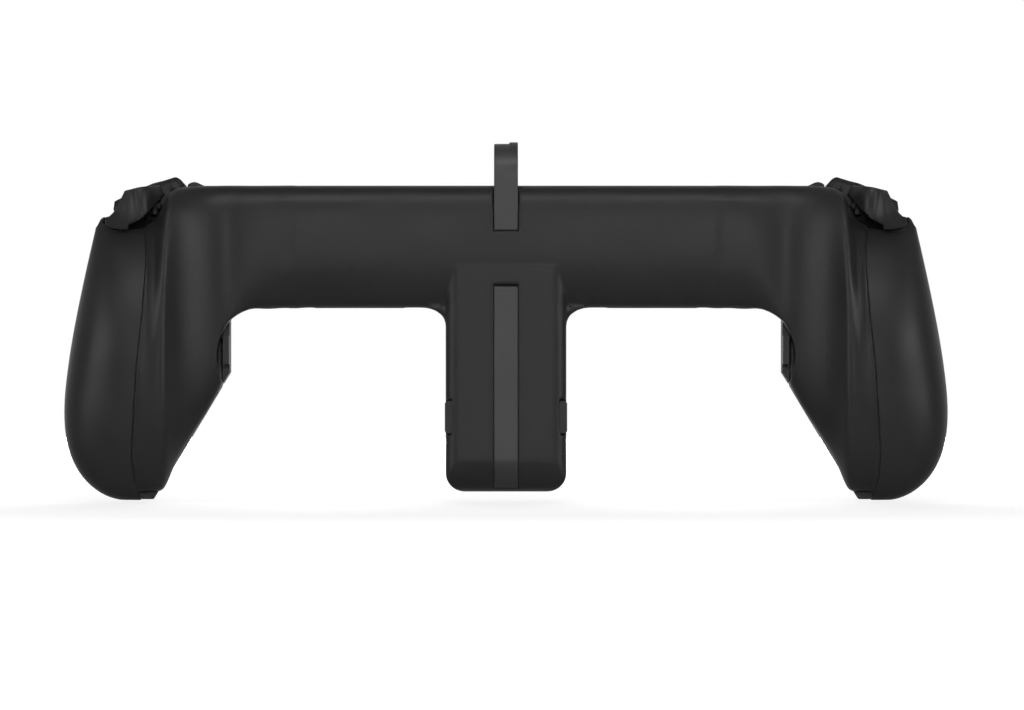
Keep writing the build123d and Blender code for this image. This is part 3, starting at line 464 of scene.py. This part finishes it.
voxel = 0.45
rear_zones = (
    ((16.0, 57.0), (32.0, 63.5)),
    ((60.0, 60.0), (82.0, 64.5)),
    ((61.0, 91.0), (76.0, 98.0)),
)
skin("rear_skin", "rear_shell", voxel, 4, shape_rear, zones=rear_zones)
for side in ("left", "right"):
    skin(f"grip_skin_{side}", f"grip_cover_{side}", voxel, 4, shape_rear)
    skin(f"face_skin_{side}", f"face_shell_{side}", voxel, 4, shape_face)
    skin(f"bumper_skin_{side}", f"bumper_{side}", voxel * 0.6, 2, shape_bumper)
    skin(f"trigger_skin_{side}", f"trigger_{side}", voxel * 0.6, 2, shape_trigger)
    skin(f"stick_skin_{side}", f"thumbstick_{side}", voxel * 0.6, 2)
    skin(f"release_skin_{side}", f"release_button_{side}", voxel * 0.5, 1)
for key in ("up", "down", "inner", "outer"):
    skin(f"face_key_{key}", f"face_button_{key}", voxel * 0.55, 1)
for key in ("select", "capture", "start", "home"):
    skin(f"small_key_{key}", f"{key}_button", voxel * 0.5, 1)
skin("dpad_skin", "dpad", voxel * 0.55, 1)
skin("hook_skin", "clamp_hook", voxel * 0.6, 1, shape_hook)


def shape_strip(points):
    """Leaves room above the strip for the painted shadow of its slot."""
    points[:, 2] -= 0.45 * ease((points[:, 2] - 66.0) / 1.5)


skin("strip_skin", "channel_strip", voxel * 0.5, 1, shape_strip)


# Pieces that stand for no CAD node


def add_piece(name, mesh, look, body):
    piece = bpy.data.objects.new(name, mesh)
    bpy.context.scene.collection.objects.link(piece)
    mesh.materials.append(look)
    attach(piece, body)


def solid_strip(name, line, thickness, low, high, look, body):
    """Upright wall of one thickness along a line of (x, y)."""
    inner = []
    for index, (x, y) in enumerate(line):
        before = line[max(index - 1, 0)]
        after = line[min(index + 1, len(line) - 1)]
        along = Vector((after[0] - before[0], after[1] - before[1])).normalized()
        inner.append((x - along.y * thickness, y + along.x * thickness))
    ring = list(line) + inner[::-1]
    count = len(ring)
    points = [(x * mm, y * mm, low * mm) for x, y in ring]
    points += [(x * mm, y * mm, high * mm) for x, y in ring]
    faces = [(i, (i + 1) % count, count + (i + 1) % count, count + i) for i in range(count)]
    half = count // 2
    for index in range(half - 1):
        a, b, c, d = index, index + 1, count - 2 - index, count - 1 - index
        faces += [(d, c, b, a), (count + a, count + b, count + c, count + d)]
    mesh = bpy.data.meshes.new(name)
    mesh.from_pydata(points, [], faces)
    edit = bmesh.new()
    edit.from_mesh(mesh)
    bmesh.ops.recalc_face_normals(edit, faces=edit.faces)
    edit.to_mesh(mesh)
    edit.free()
    add_piece(name, mesh, look, body)


# Dark walls that close gaps in the solids. The photo doesn't show them.
# The walls are near-black: painted shade in the gaps they close
seal_path = ((116.5, 2.3), (118.5, 2.3), (120.4, 2.6), (121.2, 3.6), (121.2, 12.0))
screen_path = ((104.5, -2.0), (112.0, -2.0), (120.5, -2.0))
walls = (
    ("gap_wall_painted_shade", seal_path, 0.5, 84.0, 89.9),
    ("gap_screen_painted_shade", screen_path, 0.4, 84.6, 88.0),
)
for wall, path, thickness, low, high in walls:
    for side, sign in (("left", 1), ("right", -1)):
        line = [(sign * u, y) for u, y in path]
        solid_strip(
            f"{wall}_{side}", line, thickness * sign, low, high, painted_shade_look, "shell"
        )

# Painted shadow of the slot above the strip: a thin near-black piece
solid_strip(
    "strip_slot_shadow",
    [(-3.7, -9.85), (0.0, -9.85), (3.7, -9.85)],
    0.5,
    67.35,
    68.15,
    painted_shade_look,
    "shell",
)


# Cross recesses in the screw heads, drawn as painted shade: (u, z) of each pair

face_screws_at = ((95.5, 93.4), (127.5, 62.0), (105.0, 24.0))
plate_screws_at = ((70.0, 92.0), (12.0, 46.0))


def cross_recess(name, node, x, z):
    """Dark cross on the head of the screw of a node nearest to a place: painted shade of the cross
    recess.
    """
    points = np.array([tuple(v.co) for v in cad[node].data.vertices]) / mm
    near = np.hypot(points[:, 0] - x, points[:, 2] - z) < 2.7
    top = points[near, 1].max() + 0.02
    arm, half = 1.35, 0.3
    corners = []
    for turn in range(4):
        for along, across in ((half, -half), (arm, -half * 0.8), (arm, half * 0.8)):
            angle = math.radians(90 * turn + 20)
            corners.append(
                (
                    x + along * math.cos(angle) - across * math.sin(angle),
                    z + along * math.sin(angle) + across * math.cos(angle),
                )
            )
    count = len(corners)
    low = [(a * mm, (top - 0.3) * mm, b * mm) for a, b in corners]
    high = [(a * mm, top * mm, b * mm) for a, b in corners]
    sides = [(i, (i + 1) % count, count + (i + 1) % count, count + i) for i in range(count)]
    ends = [tuple(range(count)), tuple(range(2 * count - 1, count - 1, -1))]
    mesh = bpy.data.meshes.new(name)
    mesh.from_pydata(low + high, [], sides + ends)
    mesh.update()
    add_piece(name, mesh, painted_shade_look, body_of[node])


for node, places in (("face_screws", face_screws_at), ("backrest_screws", plate_screws_at)):
    for index, (u, z) in enumerate(places):
        cross_recess(f"{node}_cross_{index}_left", node, u, z)
        cross_recess(f"{node}_cross_{index}_right", node, -u, z)


# Floor, lamps and camera


def lamp(name, turn, lift, distance, size, level, glossy=True, diffuse=True):
    """Softbox aimed at the object: turn and lift in degrees from the rear, level on the object."""
    data = bpy.data.lights.new(name, "AREA")
    data.shape = "RECTANGLE"
    data.size, data.size_y = size
    data.energy = level * math.pi * distance**2
    thing = bpy.data.objects.new(name, data)
    bpy.context.scene.collection.objects.link(thing)
    turn, lift = math.radians(turn), math.radians(lift)
    flat = math.cos(lift)
    away = Vector((math.sin(turn) * flat, -math.cos(turn) * flat, math.sin(lift)))
    thing.location = middle + distance * away
    thing.rotation_euler = (-away).to_track_quat("-Z", "Y").to_euler()
    thing.visible_glossy = glossy
    thing.visible_diffuse = diffuse


middle = Vector((0.0, -0.005, 0.055))
lamp("fill_rear", 0, 8, 2.0, (0.5, 0.5), 2.6, glossy=False)
lamp("fill_face", 180, 12, 2.0, (0.9, 0.9), 4.5, glossy=False)
lamp("fill_top", 0, 75, 1.8, (0.8, 0.5), 0.5, glossy=False)
lamp("sheen_rear", 0, 7, 2.0, (0.6, 0.6), 3.0, diffuse=False)
lamp("sheen_top", 0, 50, 1.5, (1.2, 0.5), 8.8, diffuse=False)
lamp("sheen_left", -62, 6, 1.5, (1.1, 1.0), 14.0, diffuse=False)
lamp("sheen_right", 62, 6, 1.5, (1.1, 1.0), 14.0, diffuse=False)

world = bpy.data.worlds.new("studio")
bpy.context.scene.world = world
world.use_nodes = True
sky = world.node_tree
background = sky.nodes["Background"]
background.inputs["Color"].default_value = (1, 1, 1, 1)


def seen_rays(tree):
    """1 for rays that show the backdrop as it is, 0 for those that light the object."""
    path = add_node(tree, "ShaderNodeLightPath")
    first = add_node(tree, "ShaderNodeMath", operation="MAXIMUM")
    second = add_node(tree, "ShaderNodeMath", operation="MAXIMUM")
    tree.links.new(path.outputs["Is Camera Ray"], first.inputs[0])
    tree.links.new(path.outputs["Is Glossy Ray"], first.inputs[1])
    tree.links.new(first.outputs[0], second.inputs[0])
    tree.links.new(path.outputs["Is Transmission Ray"], second.inputs[1])
    return second.outputs[0]


sky.links.new(
    spread(sky, seen_rays(sky), 0.02, 1.0, (0, 1)), background.inputs["Strength"]
)

floor_mesh = bpy.data.meshes.new("floor")
reach = 6.0
floor_mesh.from_pydata(
    [(-reach, -reach, 0), (reach, -reach, 0), (reach, reach, 0), (-reach, reach, 0)],
    [],
    [(0, 1, 2, 3)],
)
floor = bpy.data.objects.new("floor", floor_mesh)
bpy.context.scene.collection.objects.link(floor)
floor.location.z = -0.0002
paper, paper_tree, paper_shader = new_material("paper")
paper_shader.inputs["Base Color"].default_value = (0.5, 0.5, 0.5, 1)
paper_shader.inputs["Roughness"].default_value = 0.9
paper_shader.inputs["Specular IOR Level"].default_value = 0.0
paper_shader.inputs["Emission Color"].default_value = (1, 1, 1, 1)
place_on_floor = add_node(paper_tree, "ShaderNodeTexCoord").outputs["Object"]
away = add_node(paper_tree, "ShaderNodeVectorMath", operation="LENGTH")
paper_tree.links.new(place_on_floor, away.inputs[0])
paleness = spread(paper_tree, away.outputs["Value"], 0.72, 1.0, (0.25, 0.9))
shown = spread(paper_tree, seen_rays(paper_tree), 0.0, 1.0, (0, 1))
glow = add_node(paper_tree, "ShaderNodeMath", operation="MULTIPLY")
paper_tree.links.new(paleness, glow.inputs[0])
paper_tree.links.new(shown, glow.inputs[1])
paper_tree.links.new(glow.outputs[0], paper_shader.inputs["Emission Strength"])
floor_mesh.materials.append(paper)

# The photograph's frame: 1024 pixels wide, 0.3132 mm to a pixel, level with the object
pixel = 0.3132 * mm
distance = 2.6
camera_data = bpy.data.cameras.new("camera")
camera = bpy.data.objects.new("camera", camera_data)
bpy.context.scene.collection.objects.link(camera)
camera_data.sensor_width = 36.0
camera_data.lens = 36.0 * distance / (1024 * pixel)
camera_data.clip_end = 20.0
camera.location = (6.0 * pixel, -distance - 0.006, 146.5 * pixel)
camera.rotation_euler = (math.pi / 2, 0, 0)
bpy.context.scene.camera = camera
bpy.context.scene.view_settings.view_transform = "Standard"
